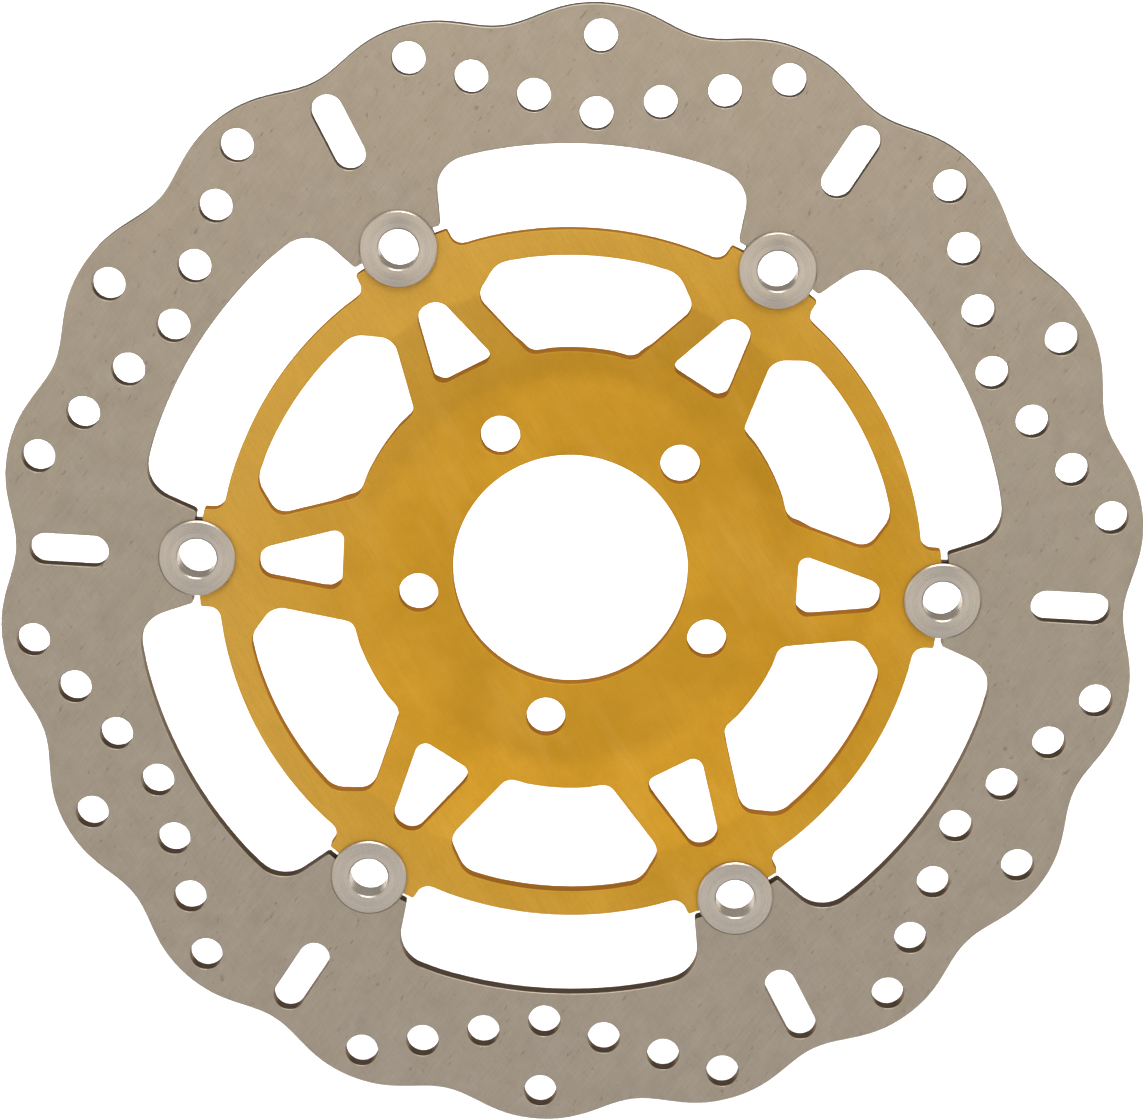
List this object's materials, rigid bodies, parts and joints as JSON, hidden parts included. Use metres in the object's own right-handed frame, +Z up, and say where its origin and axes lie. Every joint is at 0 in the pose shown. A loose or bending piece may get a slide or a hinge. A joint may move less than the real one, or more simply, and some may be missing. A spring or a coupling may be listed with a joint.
{
  "type": "motorcycle brake disc",
  "caption": "Semi-floating wave-edged brake disc: a drilled steel blade on a dished gold hub, joined by hollow flanged buttons with square drive blocks.",
  "frame": {"origin": "centre of the hub bore, on the mounting face that sits against the wheel", "axes": "Y along the wheel axle, +Y towards the wheel, -Y the outer face; +Z up and +X to the right seen from outside, through a button"},
  "size_m": [0.3162, 0.0166, 0.32],
  "materials": {
    "blade_steel": "ground stainless steel with fine crossed grinding lines",
    "gold_anodised": "matt gold anodised aluminium with a fine grain",
    "turned_steel": "turned stainless steel",
    "block_steel": "machined steel",
    "spring_steel": "dark spring steel",
    "washer_steel": "pressed stainless steel"
  },
  "bodies": {
    "carrier": {"hub": "gold_anodised"},
    "drive_blocks": {"drive_block_1": "block_steel", "drive_block_2": "block_steel", "drive_block_3": "block_steel", "drive_block_4": "block_steel", "drive_block_5": "block_steel", "drive_block_6": "block_steel"},
    "brake_blade": {"blade": "blade_steel"},
    "button_set_1": {"button_1": "turned_steel", "wave_washer_1": "spring_steel", "back_washer_1": "washer_steel"},
    "button_set_2": {"button_2": "turned_steel", "wave_washer_2": "spring_steel", "back_washer_2": "washer_steel"},
    "button_set_3": {"button_3": "turned_steel", "wave_washer_3": "spring_steel", "back_washer_3": "washer_steel"},
    "button_set_4": {"button_4": "turned_steel", "wave_washer_4": "spring_steel", "back_washer_4": "washer_steel"},
    "button_set_5": {"button_5": "turned_steel", "wave_washer_5": "spring_steel", "back_washer_5": "washer_steel"},
    "button_set_6": {"button_6": "turned_steel", "wave_washer_6": "spring_steel", "back_washer_6": "washer_steel"}
  },
  "joints": [
    {"name": "blade_turn", "type": "hinge", "parent": "carrier", "child": "drive_blocks", "pos_m": [0, 0, 0], "axis": [0, 1, 0], "range_deg": [-0.1, 0.1]},
    {"name": "blade_float", "type": "slide", "parent": "drive_blocks", "child": "brake_blade", "axis": [0, 1, 0], "range_m": [-0.0002, 0.0002]},
    {"name": "button_spin_1", "type": "hinge", "parent": "drive_blocks", "child": "button_set_1", "pos_m": [0.104, -0.0127, 0], "axis": [0, 1, 0], "continuous": true},
    {"name": "button_spin_2", "type": "hinge", "parent": "drive_blocks", "child": "button_set_2", "pos_m": [0.052, -0.0127, 0.09007], "axis": [0, 1, 0], "continuous": true},
    {"name": "button_spin_3", "type": "hinge", "parent": "drive_blocks", "child": "button_set_3", "pos_m": [-0.052, -0.0127, 0.09007], "axis": [0, 1, 0], "continuous": true},
    {"name": "button_spin_4", "type": "hinge", "parent": "drive_blocks", "child": "button_set_4", "pos_m": [-0.104, -0.0127, 0], "axis": [0, 1, 0], "continuous": true},
    {"name": "button_spin_5", "type": "hinge", "parent": "drive_blocks", "child": "button_set_5", "pos_m": [-0.052, -0.0127, -0.09007], "axis": [0, 1, 0], "continuous": true},
    {"name": "button_spin_6", "type": "hinge", "parent": "drive_blocks", "child": "button_set_6", "pos_m": [0.052, -0.0127, -0.09007], "axis": [0, 1, 0], "continuous": true}
  ]
}
